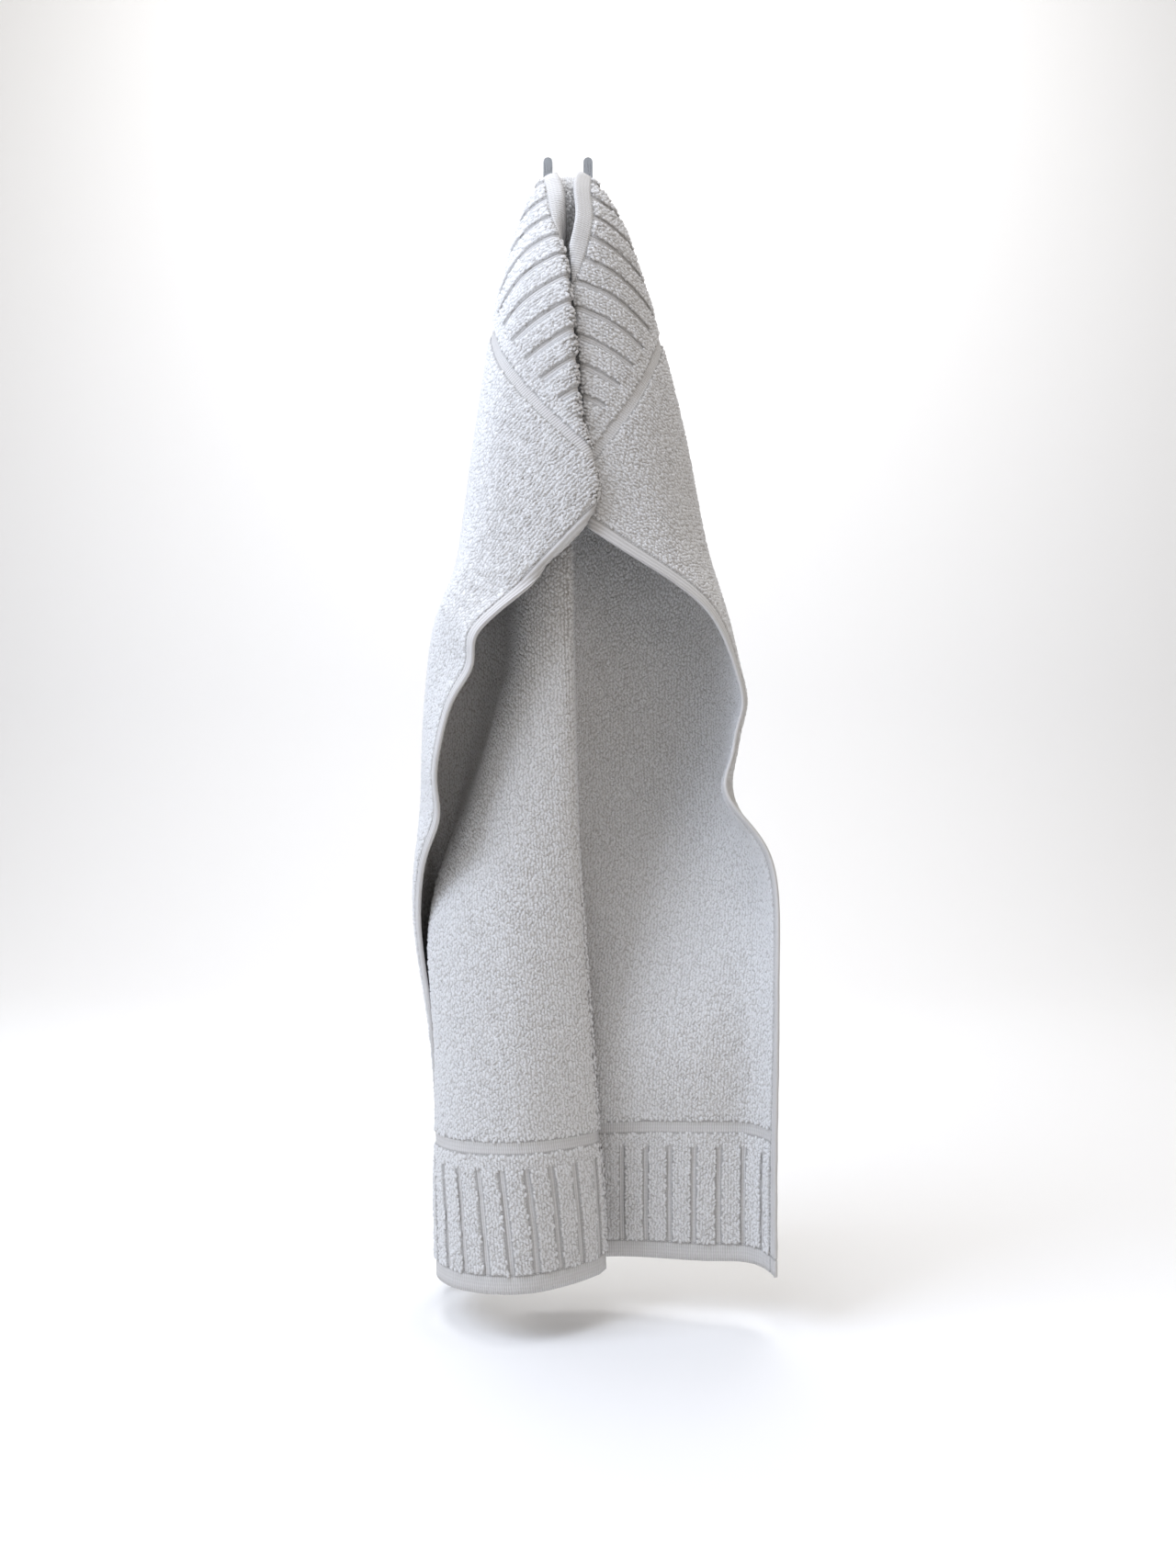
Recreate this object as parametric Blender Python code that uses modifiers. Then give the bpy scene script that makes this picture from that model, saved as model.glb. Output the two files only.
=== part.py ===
"""Terry towel hanging by the middle of one short end on a two-pronged wall hook.

Metres, +Z up, the wall is the plane y = 0 and the room lies towards -Y.
The origin is the middle of the back of the hook's wall plate.
"""
import math

import bmesh
import bpy
import numpy as np

# Object
OBJECT_NAME = "terry_towel_on_wall_hook"
HOOK_HEIGHT = 0.020        # the fork's saddle above the middle of the wall plate

# The towel laid flat
TOWEL_WIDTH = 0.500
TOWEL_LENGTH = 0.798
RIB_COUNT = 29             # pile ribs across the width
END_HEM = 0.013            # flat hem at each short end
SIDE_HEM = 0.0075          # flat hem along each long side
RIBS_END = 0.086           # the ribs reach this far from the end
STRIP_END = 0.0965         # then a strip of pile, up to here
BAND_END = 0.1055          # then a flat woven band, up to here
RIGHT_SIDE_SHORTER = 0.009 # share by which the right long side is drawn up
KINK_WIDTH_CM = 6.5        # how far in from a long side its kinks reach

# Half the cloth's thickness in each weave
HALF_PILE = 0.0019
HALF_RIB = 0.0021
HALF_GROOVE = 0.0012
HALF_BAND = 0.0013
HALF_HEM = 0.0013

# The hang, in centimetres. Each level is a distance in the cloth from the
# middle of the hung end. At each level the cloth's course is drawn through
# named points, x to the right and d out from the wall, from the crest of the
# middle pleat out to each side and round to the front.
LEVELS_CM = (0, 0.9, 3, 6.5, 10, 20, 29, 35, 39, 45, 55, 65, 75, 86)
CREST_CM = ((0, 3.4), (0, 4.1), (0, 5), (0, 5.2), (0, 5.2), (0.1, 6.4), (0.1, 8.2),
            (0.2, 9), (0.3, 9), (0.5, 9), (1.2, 9), (1.9, 9.2), (2.5, 8.4), (2.9, 7.6))
RIGHT_CM = {
    "flank": ((0.1, 3.4), (0.4, 4.05), (0.8, 4.7), (1.2, 4.4), (1.2, 3.4), (-0.1, 3.4), (-0.4, 3.4),
              (-0.6, 3.2), (-0.6, 3.1), (-0.8, 3.6), (-2.2, 5.4), (-3.2, 7.2), (-3, 6.4), (-2.6, 5.4)),
    "valley": ((0.2, 3.4), (0.62, 4.05), (1.5, 4.6), (2.3, 3.5), (2.9, 2.1), (2, 1.4), (1.8, 1.1),
               (1.6, 0.9), (1.6, 0.9), (1.8, 1.4), (2.6, 4), (3, 7.1), (3.2, 6.2), (3.4, 5.2)),
    "corner": ((0.25, 3.4), (0.8, 4.1), (1.9, 4.7), (3.4, 3.8), (4.7, 2.9), (7, 1.6), (8.9, 1.2),
               (10.6, 1.2), (11, 1.2), (11, 1.6), (11, 5), (9.6, 8.2), (9.6, 7.7), (9.6, 7.2)),
    "side": ((0.3, 3.45), (0.95, 4.3), (2.2, 5.1), (4.1, 4.9), (5.4, 4.6), (8.3, 4.8), (10.2, 5),
             (11.8, 5.5), (12.3, 5.8), (12.3, 6), (13.7, 7), (13.1, 8.9), (13.1, 8.5), (13.1, 8.1)),
    "lip": ((0.25, 3.5), (0.9, 4.55), (1.5, 5.9), (2.5, 7), (3.2, 7.6), (5, 8.8), (7, 9.6),
            (10.3, 9.7), (11.6, 9.6), (11.6, 10.2), (14.2, 9.6), (14.3, 10.8), (14.3, 10.5), (14.4, 10.2)),
    "roll": ((0.2, 3.55), (0.7, 4.7), (0.4, 6.4), (0.15, 7.9), (0.35, 8.5), (1.2, 9.7), (1.7, 10.8),
             (5, 12.4), (8, 13.4), (10.8, 14.6), (14.2, 13), (14.4, 13), (14.5, 12.8), (14.6, 12.8)),
    "tuck": ((0.1, 3.55), (0.5, 4.7), (-0.2, 6.3), (-0.3, 7.6), (1.4, 6.8), (4.6, 5.2), (4.8, 7.4),
             (2, 14), (5, 16), (9.6, 18), (14, 17), (14.6, 17), (14.7, 16.8), (14.7, 16.8)),
}
LEFT_CM = {
    "flank": ((-0.1, 3.4), (-0.4, 4.05), (-0.8, 4.7), (-1.1, 4.5), (-1.2, 4.2), (-2.2, 5), (-2.8, 7.4),
              (-2.8, 8.5), (-3, 9), (-3.5, 9.4), (-3.2, 10.4), (-2.8, 11.3), (-2.6, 11.8), (-2.6, 12)),
    "valley": ((-0.17, 3.4), (-0.55, 4.04), (-1.2, 4.6), (-1.7, 3.9), (-2, 3.6), (-3, 2.8), (-4, 4),
               (-4.1, 5.8), (-4.9, 6.8), (-6.3, 7.2), (-7.4, 9), (-7.3, 9.7), (-7.4, 10.2), (-7.2, 10.5)),
    "corner": ((-0.22, 3.4), (-0.7, 4.06), (-1.6, 4.6), (-2.4, 3.6), (-3, 3), (-4.2, 1.3), (-4.9, 1.4),
               (-4.8, 2.2), (-5.6, 2.8), (-7.3, 3.4), (-9.9, 6), (-9.5, 6.4), (-9.5, 6.4), (-9.4, 6.6)),
    "back": ((-0.27, 3.42), (-0.83, 4.12), (-1.95, 4.75), (-3.1, 3.8), (-4.1, 3), (-6, 1), (-7.2, 0.9),
             (-6.8, 0.8), (-7.3, 0.9), (-8.3, 1.2), (-8.8, 2), (-8.3, 2.3), (-8.4, 2.8), (-8.4, 3)),
    "side": ((-0.3, 3.47), (-0.95, 4.3), (-2.2, 5.1), (-3.7, 4.8), (-4.8, 4.8), (-6.7, 4.8), (-8, 5),
             (-9.2, 4.2), (-9.6, 3.2), (-9.9, 2.4), (-10.2, 1), (-8.8, 1), (-8.5, 1.2), (-8.2, 1.4)),
    "lip": ((-0.25, 3.5), (-0.9, 4.55), (-1.6, 5.8), (-2.6, 6.7), (-3, 8), (-4.8, 9.2), (-6, 10.2),
            (-9, 9.4), (-9.8, 8.2), (-10.4, 6.6), (-11, 2.6), (-9.9, 1.5), (-9.2, 1), (-8.9, 1)),
    "roll": ((-0.2, 3.55), (-0.7, 4.7), (-0.5, 6.1), (-0.85, 7.5), (-0.15, 9), (0.8, 10.7), (1.4, 11.7),
             (-5.6, 12.4), (-7, 12.8), (-8.8, 12), (-11.1, 6), (-10.1, 4.6), (-9.5, 2.4), (-9.3, 2)),
    "tuck": ((-0.1, 3.55), (-0.5, 4.7), (0.1, 5.9), (0, 6.5), (-1.2, 7.2), (-3.6, 5.6), (-2, 8),
             (-1.6, 14), (-4.4, 16), (-7, 15), (-10.3, 8), (-9.8, 6.5), (-9.7, 5), (-9.6, 4)),
}
# Small kinks of the long sides: where along the towel, over what length, and how far to the
# right and out from the wall.
KINKS_CM = {
    "side": (-1, -1, -1, 1, 1),
    "along": (26.5, 29.8, 42.5, 34.5, 44.5),
    "reach": (2, 2.2, 2.4, 3, 3.6),
    "right": (-0.4, 0.5, 0.7, 0.5, -1.9),
    "out": (0, 0, 0.3, 0, 0.4),
}
START_HEIGHT_CM = 0.5      # height of the hung edge above the saddle
OVER_SADDLE_CM = 0.45      # cloth that rises behind the saddle before it falls
TURN_CM = 0.2              # how softly it turns over the saddle
UPPER_STRETCH = 1.10       # terry gives under its weight near the hook
LOWER_STRETCH = 0.97

# The hook
PLATE_WIDTH, PLATE_HEIGHT, PLATE_THICKNESS = 0.032, 0.036, 0.004
ARM_WIDTH, ARM_HEIGHT = 0.014, 0.010
ARM_HEIGHT_ABOVE_CENTRE = 0.004
FORK_BACK, FORK_THICKNESS = 0.0367, 0.0026
PRONG_WIDTH, PRONG_SPACING = 0.007, 0.030
PRONG_TOP, FORK_BOTTOM = 0.022, -0.024   # above and below the saddle
FORK_CORNER, SADDLE_CORNER = 0.004, 0.003
EASED_EDGE = 0.0008
JOINT_GAP = 0.0003

MATERIALS = {
    "cotton_terry": ((0.80, 0.80, 0.79), 0.95, 0.0),
    "brushed_steel": ((0.42, 0.44, 0.47), 0.38, 1.0),
}


def new_material(name):
    """Return a named Principled material from the table above."""
    colour, roughness, metallic = MATERIALS[name]
    material = bpy.data.materials.new(name)
    material.use_nodes = True
    shader = material.node_tree.nodes["Principled BSDF"]
    shader.inputs["Base Color"].default_value = (*colour, 1.0)
    shader.inputs["Roughness"].default_value = roughness
    shader.inputs["Metallic"].default_value = metallic
    return material


def smooth_between(levels, values, at):
    """Values at one level, on smooth curves through a table's rows."""
    step = np.diff(levels)[:, None]
    rate = np.diff(values, axis=0) / step
    slope = np.empty_like(values)
    slope[1:-1] = (step[1:] * rate[:-1] + step[:-1] * rate[1:]) / (step[1:] + step[:-1])
    slope[0], slope[-1] = rate[0], rate[-1]
    i = int(np.clip(np.searchsorted(levels, at, side="right") - 1, 0, len(levels) - 2))
    h = levels[i + 1] - levels[i]
    t = (at - levels[i]) / h
    return ((2 * t ** 3 - 3 * t ** 2 + 1) * values[i] + (t ** 3 - 2 * t ** 2 + t) * h * slope[i]
            + (3 * t ** 2 - 2 * t ** 3) * values[i + 1] + (t ** 3 - t ** 2) * h * slope[i + 1])


def rounded_course(points, steps=14):
    """A dense smooth course through points[1] to points[-2]."""
    dense = []
    for p0, p1, p2, p3 in zip(points, points[1:], points[2:], points[3:]):
        t0 = 0.0
        t1 = t0 + math.sqrt(max(np.linalg.norm(p1 - p0), 1e-6))
        t2 = t1 + math.sqrt(max(np.linalg.norm(p2 - p1), 1e-6))
        t3 = t2 + math.sqrt(max(np.linalg.norm(p3 - p2), 1e-6))
        t = np.linspace(t1, t2, steps, endpoint=False)[:, None]
        a1 = (t1 - t) / (t1 - t0) * p0 + (t - t0) / (t1 - t0) * p1
        a2 = (t2 - t) / (t2 - t1) * p1 + (t - t1) / (t2 - t1) * p2
        a3 = (t3 - t) / (t3 - t2) * p2 + (t - t2) / (t3 - t2) * p3
        b1 = (t2 - t) / (t2 - t0) * a1 + (t - t0) / (t2 - t0) * a2
        b2 = (t3 - t) / (t3 - t1) * a2 + (t - t1) / (t3 - t1) * a3
        dense.append((t2 - t) / (t2 - t1) * b1 + (t - t1) / (t2 - t1) * b2)
    dense.append(points[-2][None])
    return np.vstack(dense)


class Hang:
    """Where each point of the flat towel hangs.

    At each level the cloth lies along its course by its true length, out from
    the crest. Its height follows from its true length along each line from the
    middle of the hung end.
    """

    def __init__(self):
        self.levels = np.array(LEVELS_CM, float)
        halves = []
        for half in (RIGHT_CM, LEFT_CM):
            rows = [CREST_CM] + [half[name] for name in half]
            halves.append(np.array(rows, float).transpose(1, 0, 2))
        self.distances = np.concatenate([np.linspace(0, 10, 61), np.linspace(10, 86, 229)[1:]])
        self.angles = np.linspace(0, math.pi, 241)
        grid = np.zeros((len(self.distances), len(self.angles), 3))
        for i, distance in enumerate(self.distances):
            right, left = (smooth_between(self.levels, rows.reshape(len(rows), -1), distance).reshape(-1, 2)
                           for rows in halves)
            for own, other, sign in ((right, left, 1), (left, right, -1)):
                course = rounded_course(np.vstack([other[1:2], own, (2 * own[-1] - own[-2])[None]]))
                run = np.concatenate([[0], np.cumsum(np.linalg.norm(np.diff(course, axis=0), axis=1))])
                mine = sign * (math.pi / 2 - self.angles) >= -1e-9
                length = distance * np.abs(math.pi / 2 - self.angles[mine])
                ahead = (course[-1] - course[-2]) / max(np.linalg.norm(course[-1] - course[-2]), 1e-9)
                beyond = np.maximum(length - run[-1], 0)[:, None] * ahead
                grid[i, mine, 0] = np.interp(length, run, course[:, 0]) + beyond[:, 0]
                grid[i, mine, 1] = -np.interp(length, run, course[:, 1]) - beyond[:, 1]
        sideways = np.linalg.norm(np.gradient(grid[..., :2], self.distances, axis=0), axis=2)
        falling = -np.tanh((self.distances - OVER_SADDLE_CM) / TURN_CM)[:, None]
        fall = np.sqrt(np.clip(1 - sideways ** 2, 0.04, 1)) * falling
        middle = 0.5 * (self.distances[1:] + self.distances[:-1])
        stretch = np.interp(middle, [24, 40], [UPPER_STRETCH, LOWER_STRETCH])
        drop = 0.5 * (fall[1:] + fall[:-1]) * (stretch * np.diff(self.distances))[:, None]
        grid[1:, :, 2] = np.cumsum(drop, axis=0)
        grid[..., 2] += START_HEIGHT_CM
        self.grid = grid / 100.0

    def place(self, across, along):
        """Points in space for points of the flat towel.

        Args:
            across: metres from the towel's centre line, to the right.
            along: metres from the hung end.
        """
        u, v = np.broadcast_arrays(np.asarray(across) * 100.0, np.asarray(along) * 100.0)
        drawn_up = v * (1 - RIGHT_SIDE_SHORTER * (np.clip(u - 2, 0, 23) / 23) ** 1.5)
        distance, angle = np.hypot(u, drawn_up), np.arctan2(drawn_up, u)
        i = np.clip(np.searchsorted(self.distances, distance, side="right") - 1,
                    0, len(self.distances) - 2)
        a = ((distance - self.distances[i]) / (self.distances[i + 1] - self.distances[i]))[..., None]
        turn = np.clip(angle / math.pi, 0, 1) * (len(self.angles) - 1)
        j = np.clip(turn.astype(int), 0, len(self.angles) - 2)
        b = (turn - j)[..., None]
        g = self.grid
        point = ((1 - a) * (1 - b) * g[i, j] + a * (1 - b) * g[i + 1, j]
                 + (1 - a) * b * g[i, j + 1] + a * b * g[i + 1, j + 1])
        for side, middle, reach, right, out in zip(*KINKS_CM.values()):
            share = np.clip(1 + (side * u - TOWEL_WIDTH * 50) / KINK_WIDTH_CM, 0, 1)
            share = share ** 2 * (3 - 2 * share) * np.exp(-((v - middle) / reach) ** 2)
            point = point + share[..., None] * np.array([right, -out, 0.0]) / 100.0
        return point + np.array([0, 0, HOOK_HEIGHT])


def flat_columns():
    """Distances across the towel: both edges, the side hems, each rib and groove."""
    pitch = TOWEL_WIDTH / RIB_COUNT
    edge = TOWEL_WIDTH / 2
    inner = [k * pitch / 2 for k in range(-(RIB_COUNT - 2), RIB_COUNT - 1)]
    return [-edge, -edge + SIDE_HEM] + inner + [edge - SIDE_HEM, edge]


def flat_rows():
    """Distances along the towel: close near the hook and at each change of weave."""
    near = [0, 0.0035, 0.008, END_HEM, END_HEM + 0.005]
    near += [0.026 + 0.008 * k for k in range(8)]
    near += [RIBS_END, 0.5 * (RIBS_END + STRIP_END), STRIP_END, BAND_END, 0.118, 0.128]
    far = [TOWEL_LENGTH - x for x in
           (0.122, BAND_END, STRIP_END, RIBS_END, RIBS_END - 0.004, 0.070, 0.051, 0.033,
            END_HEM + 0.005, END_HEM, 0)]
    count = 20
    between = [near[-1] + (far[0] - near[-1]) * k / count for k in range(1, count)]
    return near + between + far


def half_thickness(column, row, along):
    """Half the cloth's thickness at one point of the flat towel's grid."""
    from_end = min(along, TOWEL_LENGTH - along)
    on_side = column in (0, RIB_COUNT * 2)
    if on_side or column in (1, RIB_COUNT * 2 - 1) or from_end < END_HEM + 0.001:
        return HALF_HEM
    if from_end < RIBS_END - 0.001:
        return HALF_RIB if (column - RIB_COUNT) % 2 == 0 else HALF_GROOVE
    if abs(from_end - 0.5 * (STRIP_END + BAND_END)) < 0.5 * (BAND_END - STRIP_END) + 0.0005:
        return HALF_BAND
    return HALF_PILE


def add_object(name, mesh, material, collection):
    """Put a mesh or a curve into the scene as a named object."""
    mesh.materials.append(material)
    piece = bpy.data.objects.new(name, mesh)
    collection.objects.link(piece)
    return piece


def build_towel(hang, material, collection):
    """The towel: a flat grid laid on the hang and thickened, thinner where the pile stops."""
    columns, rows = flat_columns(), flat_rows()
    across, along = np.meshgrid(np.array(columns), np.array(rows))
    places = hang.place(across, along)
    cloth = bmesh.new()
    bmesh.ops.create_grid(cloth, x_segments=len(columns) - 1, y_segments=len(rows) - 1, size=0.5)
    shares = []
    for vertex in cloth.verts:
        column = round((vertex.co.x + 0.5) * (len(columns) - 1))
        row = round((vertex.co.y + 0.5) * (len(rows) - 1))
        vertex.co = places[row, column]
        shares.append(half_thickness(column, row, rows[row]) / HALF_RIB)
    mesh = bpy.data.meshes.new("towel")
    cloth.to_mesh(mesh)
    cloth.free()
    towel = add_object("towel", mesh, material, collection)
    weave = towel.vertex_groups.new(name="weave")
    for index, share in enumerate(shares):
        weave.add([index], share, "REPLACE")
    thick = towel.modifiers.new("cloth thickness", "SOLIDIFY")
    thick.thickness = 2 * HALF_RIB
    thick.offset = 0.0
    thick.vertex_group = weave.name
    faces = towel.modifiers.new("even faces", "TRIANGULATE")
    faces.quad_method = "SHORTEST_DIAGONAL"
    return towel


def build_block(name, low, high, material, collection):
    """A box between two corners with its edges eased."""
    block = bmesh.new()
    bmesh.ops.create_cube(block, size=1.0)
    for vertex in block.verts:
        vertex.co = [low[k] + (vertex.co[k] + 0.5) * (high[k] - low[k]) for k in range(3)]
    mesh = bpy.data.meshes.new(name)
    block.to_mesh(mesh)
    block.free()
    piece = add_object(name, mesh, material, collection)
    eased = piece.modifiers.new("eased edges", "BEVEL")
    eased.width = EASED_EDGE
    eased.segments = 2
    return piece


def build_plate(material, collection):
    """The plate that is fixed to the wall, its back at y = 0."""
    return build_block("wall_plate", (-PLATE_WIDTH / 2, -PLATE_THICKNESS, -PLATE_HEIGHT / 2),
                       (PLATE_WIDTH / 2, 0.0, PLATE_HEIGHT / 2), material, collection)


def build_arm(material, collection):
    """The short arm from the plate to the back of the fork."""
    bottom = ARM_HEIGHT_ABOVE_CENTRE - ARM_HEIGHT / 2
    return build_block("arm", (-ARM_WIDTH / 2, -FORK_BACK + JOINT_GAP, bottom),
                       (ARM_WIDTH / 2, -PLATE_THICKNESS - JOINT_GAP, bottom + ARM_HEIGHT),
                       material, collection)


def arc(centre, radius, start, end, steps):
    """Points on an arc in the plane, from one angle in degrees to another."""
    angles = [math.radians(start + (end - start) * k / steps) for k in range(steps + 1)]
    return [(centre[0] + radius * math.cos(a), centre[1] + radius * math.sin(a)) for a in angles]


def build_fork(material, collection):
    """A flat plate cut to two upright prongs with round ends and a straight saddle."""
    half_prong = PRONG_WIDTH / 2
    reach = PRONG_SPACING / 2 + half_prong
    inner = PRONG_SPACING / 2 - half_prong
    right = arc((reach - FORK_CORNER, FORK_BOTTOM + FORK_CORNER), FORK_CORNER, -90, 0, 3)
    right += arc((PRONG_SPACING / 2, PRONG_TOP - half_prong), half_prong, 0, 180, 6)
    right += arc((inner - SADDLE_CORNER, SADDLE_CORNER), SADDLE_CORNER, 0, -90, 3)
    outline = right + [(-x, z) for x, z in reversed(right)]
    curve = bpy.data.curves.new("fork", "CURVE")
    curve.dimensions = "2D"
    curve.fill_mode = "BOTH"
    curve.extrude = FORK_THICKNESS / 2
    spline = curve.splines.new("POLY")
    spline.points.add(len(outline) - 1)
    for point, (x, z) in zip(spline.points, outline):
        point.co = (x, z, 0.0, 1.0)
    spline.use_cyclic_u = True
    fork = add_object("fork", curve, material, collection)
    fork.location = (0.0, -FORK_BACK - FORK_THICKNESS / 2, HOOK_HEIGHT)
    fork.rotation_euler = (math.pi / 2, 0.0, 0.0)
    return fork


def main():
    for old in list(bpy.data.objects):
        bpy.data.objects.remove(old, do_unlink=True)
    collection = bpy.data.collections.new(OBJECT_NAME)
    bpy.context.scene.collection.children.link(collection)
    terry, steel = new_material("cotton_terry"), new_material("brushed_steel")
    build_towel(Hang(), terry, collection)
    build_plate(steel, collection)
    build_arm(steel, collection)
    build_fork(steel, collection)


main()
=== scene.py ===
"""Looks of a terry towel that hangs by the middle of one short end on a two-pronged wall hook.

Metres, +Z up, the wall is the plane y = 0 and the room lies towards -Y. The cloth is laid on the
same hang as its solid: a flat towel, whose points are carried to their places by their distance
from the middle of the hung end and by the course of the cloth at that distance.
"""
import logging
import math
from collections.abc import Callable
from dataclasses import dataclass, field
from enum import Enum
from functools import partial
from typing import NamedTuple

import bpy
import numpy as np
from bpy.types import Material, Node, NodeSocket, NodeTree, Object
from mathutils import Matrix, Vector


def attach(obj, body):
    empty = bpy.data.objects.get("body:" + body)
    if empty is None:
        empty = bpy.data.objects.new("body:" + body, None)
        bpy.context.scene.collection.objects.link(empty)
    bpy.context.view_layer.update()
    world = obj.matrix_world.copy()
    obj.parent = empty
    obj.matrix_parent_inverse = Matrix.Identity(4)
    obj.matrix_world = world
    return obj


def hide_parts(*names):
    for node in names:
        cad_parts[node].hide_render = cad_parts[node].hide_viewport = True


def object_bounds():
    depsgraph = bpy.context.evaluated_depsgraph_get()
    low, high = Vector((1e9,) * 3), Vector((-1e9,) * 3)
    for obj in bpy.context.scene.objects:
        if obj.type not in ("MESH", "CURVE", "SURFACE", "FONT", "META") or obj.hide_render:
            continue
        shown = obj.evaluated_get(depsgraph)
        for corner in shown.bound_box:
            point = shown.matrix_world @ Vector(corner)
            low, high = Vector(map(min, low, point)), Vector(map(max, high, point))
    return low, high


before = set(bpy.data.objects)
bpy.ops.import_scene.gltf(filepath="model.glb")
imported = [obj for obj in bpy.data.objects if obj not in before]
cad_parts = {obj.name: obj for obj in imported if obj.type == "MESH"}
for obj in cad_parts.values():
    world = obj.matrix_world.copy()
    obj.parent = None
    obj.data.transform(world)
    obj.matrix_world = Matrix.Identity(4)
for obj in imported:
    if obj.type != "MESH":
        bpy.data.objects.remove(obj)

log = logging.getLogger("towel")
CAD_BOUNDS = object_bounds()
MM = 0.001
ROOT = "root"
MATH, VECTOR, NOISE = "ShaderNodeMath", "ShaderNodeVectorMath", "ShaderNodeTexNoise"
STEP, MIX, BUMP = "ShaderNodeMapRange", "ShaderNodeMix", "ShaderNodeBump"
ADD, SUBTRACT, MULTIPLY, MULTIPLY_ADD, MAXIMUM, MINIMUM, ABSOLUTE = (
    {"operation": name}
    for name in ("ADD", "SUBTRACT", "MULTIPLY", "MULTIPLY_ADD", "MAXIMUM", "MINIMUM", "ABSOLUTE"))
SMOOTH = {"interpolation_type": "SMOOTHSTEP"}
NOISE_STEP = SMOOTH | {1: 0.3, 2: 0.7}  # nearly all of a noise's values lie between these
COLOURS = {"data_type": "RGBA"}
TINT = COLOURS | {"blend_type": "MULTIPLY"}


def srgb(code: str) -> tuple[float, float, float, float]:
    """Linear colour of an sRGB hex code.

    Args:
        code: six hex digits after a hash.

    Returns:
        Red, green, blue and an alpha of 1.
    """
    parts = [int(code[k:k + 2], 16) / 255 for k in (1, 3, 5)]
    linear = [c / 12.92 if c <= 0.04045 else ((c + 0.055) / 1.055) ** 2.4 for c in parts]
    return (*linear, 1.0)


def add_node(tree: NodeTree, kind: str, settings: dict | None = None,
             links: dict | None = None) -> Node:
    """Add one node with its settings and links.

    Args:
        tree: the node tree that takes the node.
        kind: the node's Blender type.
        settings: attributes of the node, or values of its inputs by name or index.
        links: what feeds each input, by name or index: a socket, a node's first output or a value.

    Returns:
        The new node.
    """
    node = tree.nodes.new(kind)
    for name, value in (settings or {}).items():
        if isinstance(name, str) and hasattr(node, name):
            setattr(node, name, value)
        else:
            node.inputs[name].default_value = value
    for name, source in (links or {}).items():
        if isinstance(source, Node):
            source = source.outputs[0]
        if isinstance(source, NodeSocket):
            tree.links.new(source, node.inputs[name])
        else:
            node.inputs[name].default_value = source
    return node


def start_material(name: str, **values: object) -> tuple[Material, Node]:
    """A new material with its shader.

    Args:
        name: the material's name.
        values: plain values of the shader's own sockets, with _ for a space.

    Returns:
        The material and its shader node.
    """
    made = bpy.data.materials.new(name)
    made.use_nodes = True
    shader = made.node_tree.nodes["Principled BSDF"]
    for socket, value in values.items():
        shader.inputs[socket.replace("_", " ")].default_value = value
    return made, shader


class Face(Enum):
    """The two faces of the cloth, with the side of its middle surface on which each lies."""

    OUTER = 1
    INNER = -1


@dataclass(frozen=True)
class TowelCut:
    """Sizes of the towel laid flat, in metres."""

    width: float = 0.500
    length: float = 0.798
    rib_count: int = 29
    end_hem: float = 0.013
    side_hem: float = 0.0075
    ribs_end: float = 0.086
    strip_end: float = 0.0965
    band_end: float = 0.1055
    groove_width: float = 0.0044

    @property
    def pitch(self) -> float:
        """Distance from rib to rib."""
        return self.width / self.rib_count

    def from_edges(self, across: np.ndarray, along: np.ndarray) -> tuple[np.ndarray, np.ndarray]:
        """Distances from the nearest end and from the nearest side."""
        return np.minimum(along, self.length - along), self.width / 2 - np.abs(across)

    def groove_distance(self, across: np.ndarray) -> np.ndarray:
        """Distance from the middle of the nearest groove between two ribs."""
        return np.abs(np.mod(across / self.pitch, 1.0) - 0.5) * self.pitch


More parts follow.
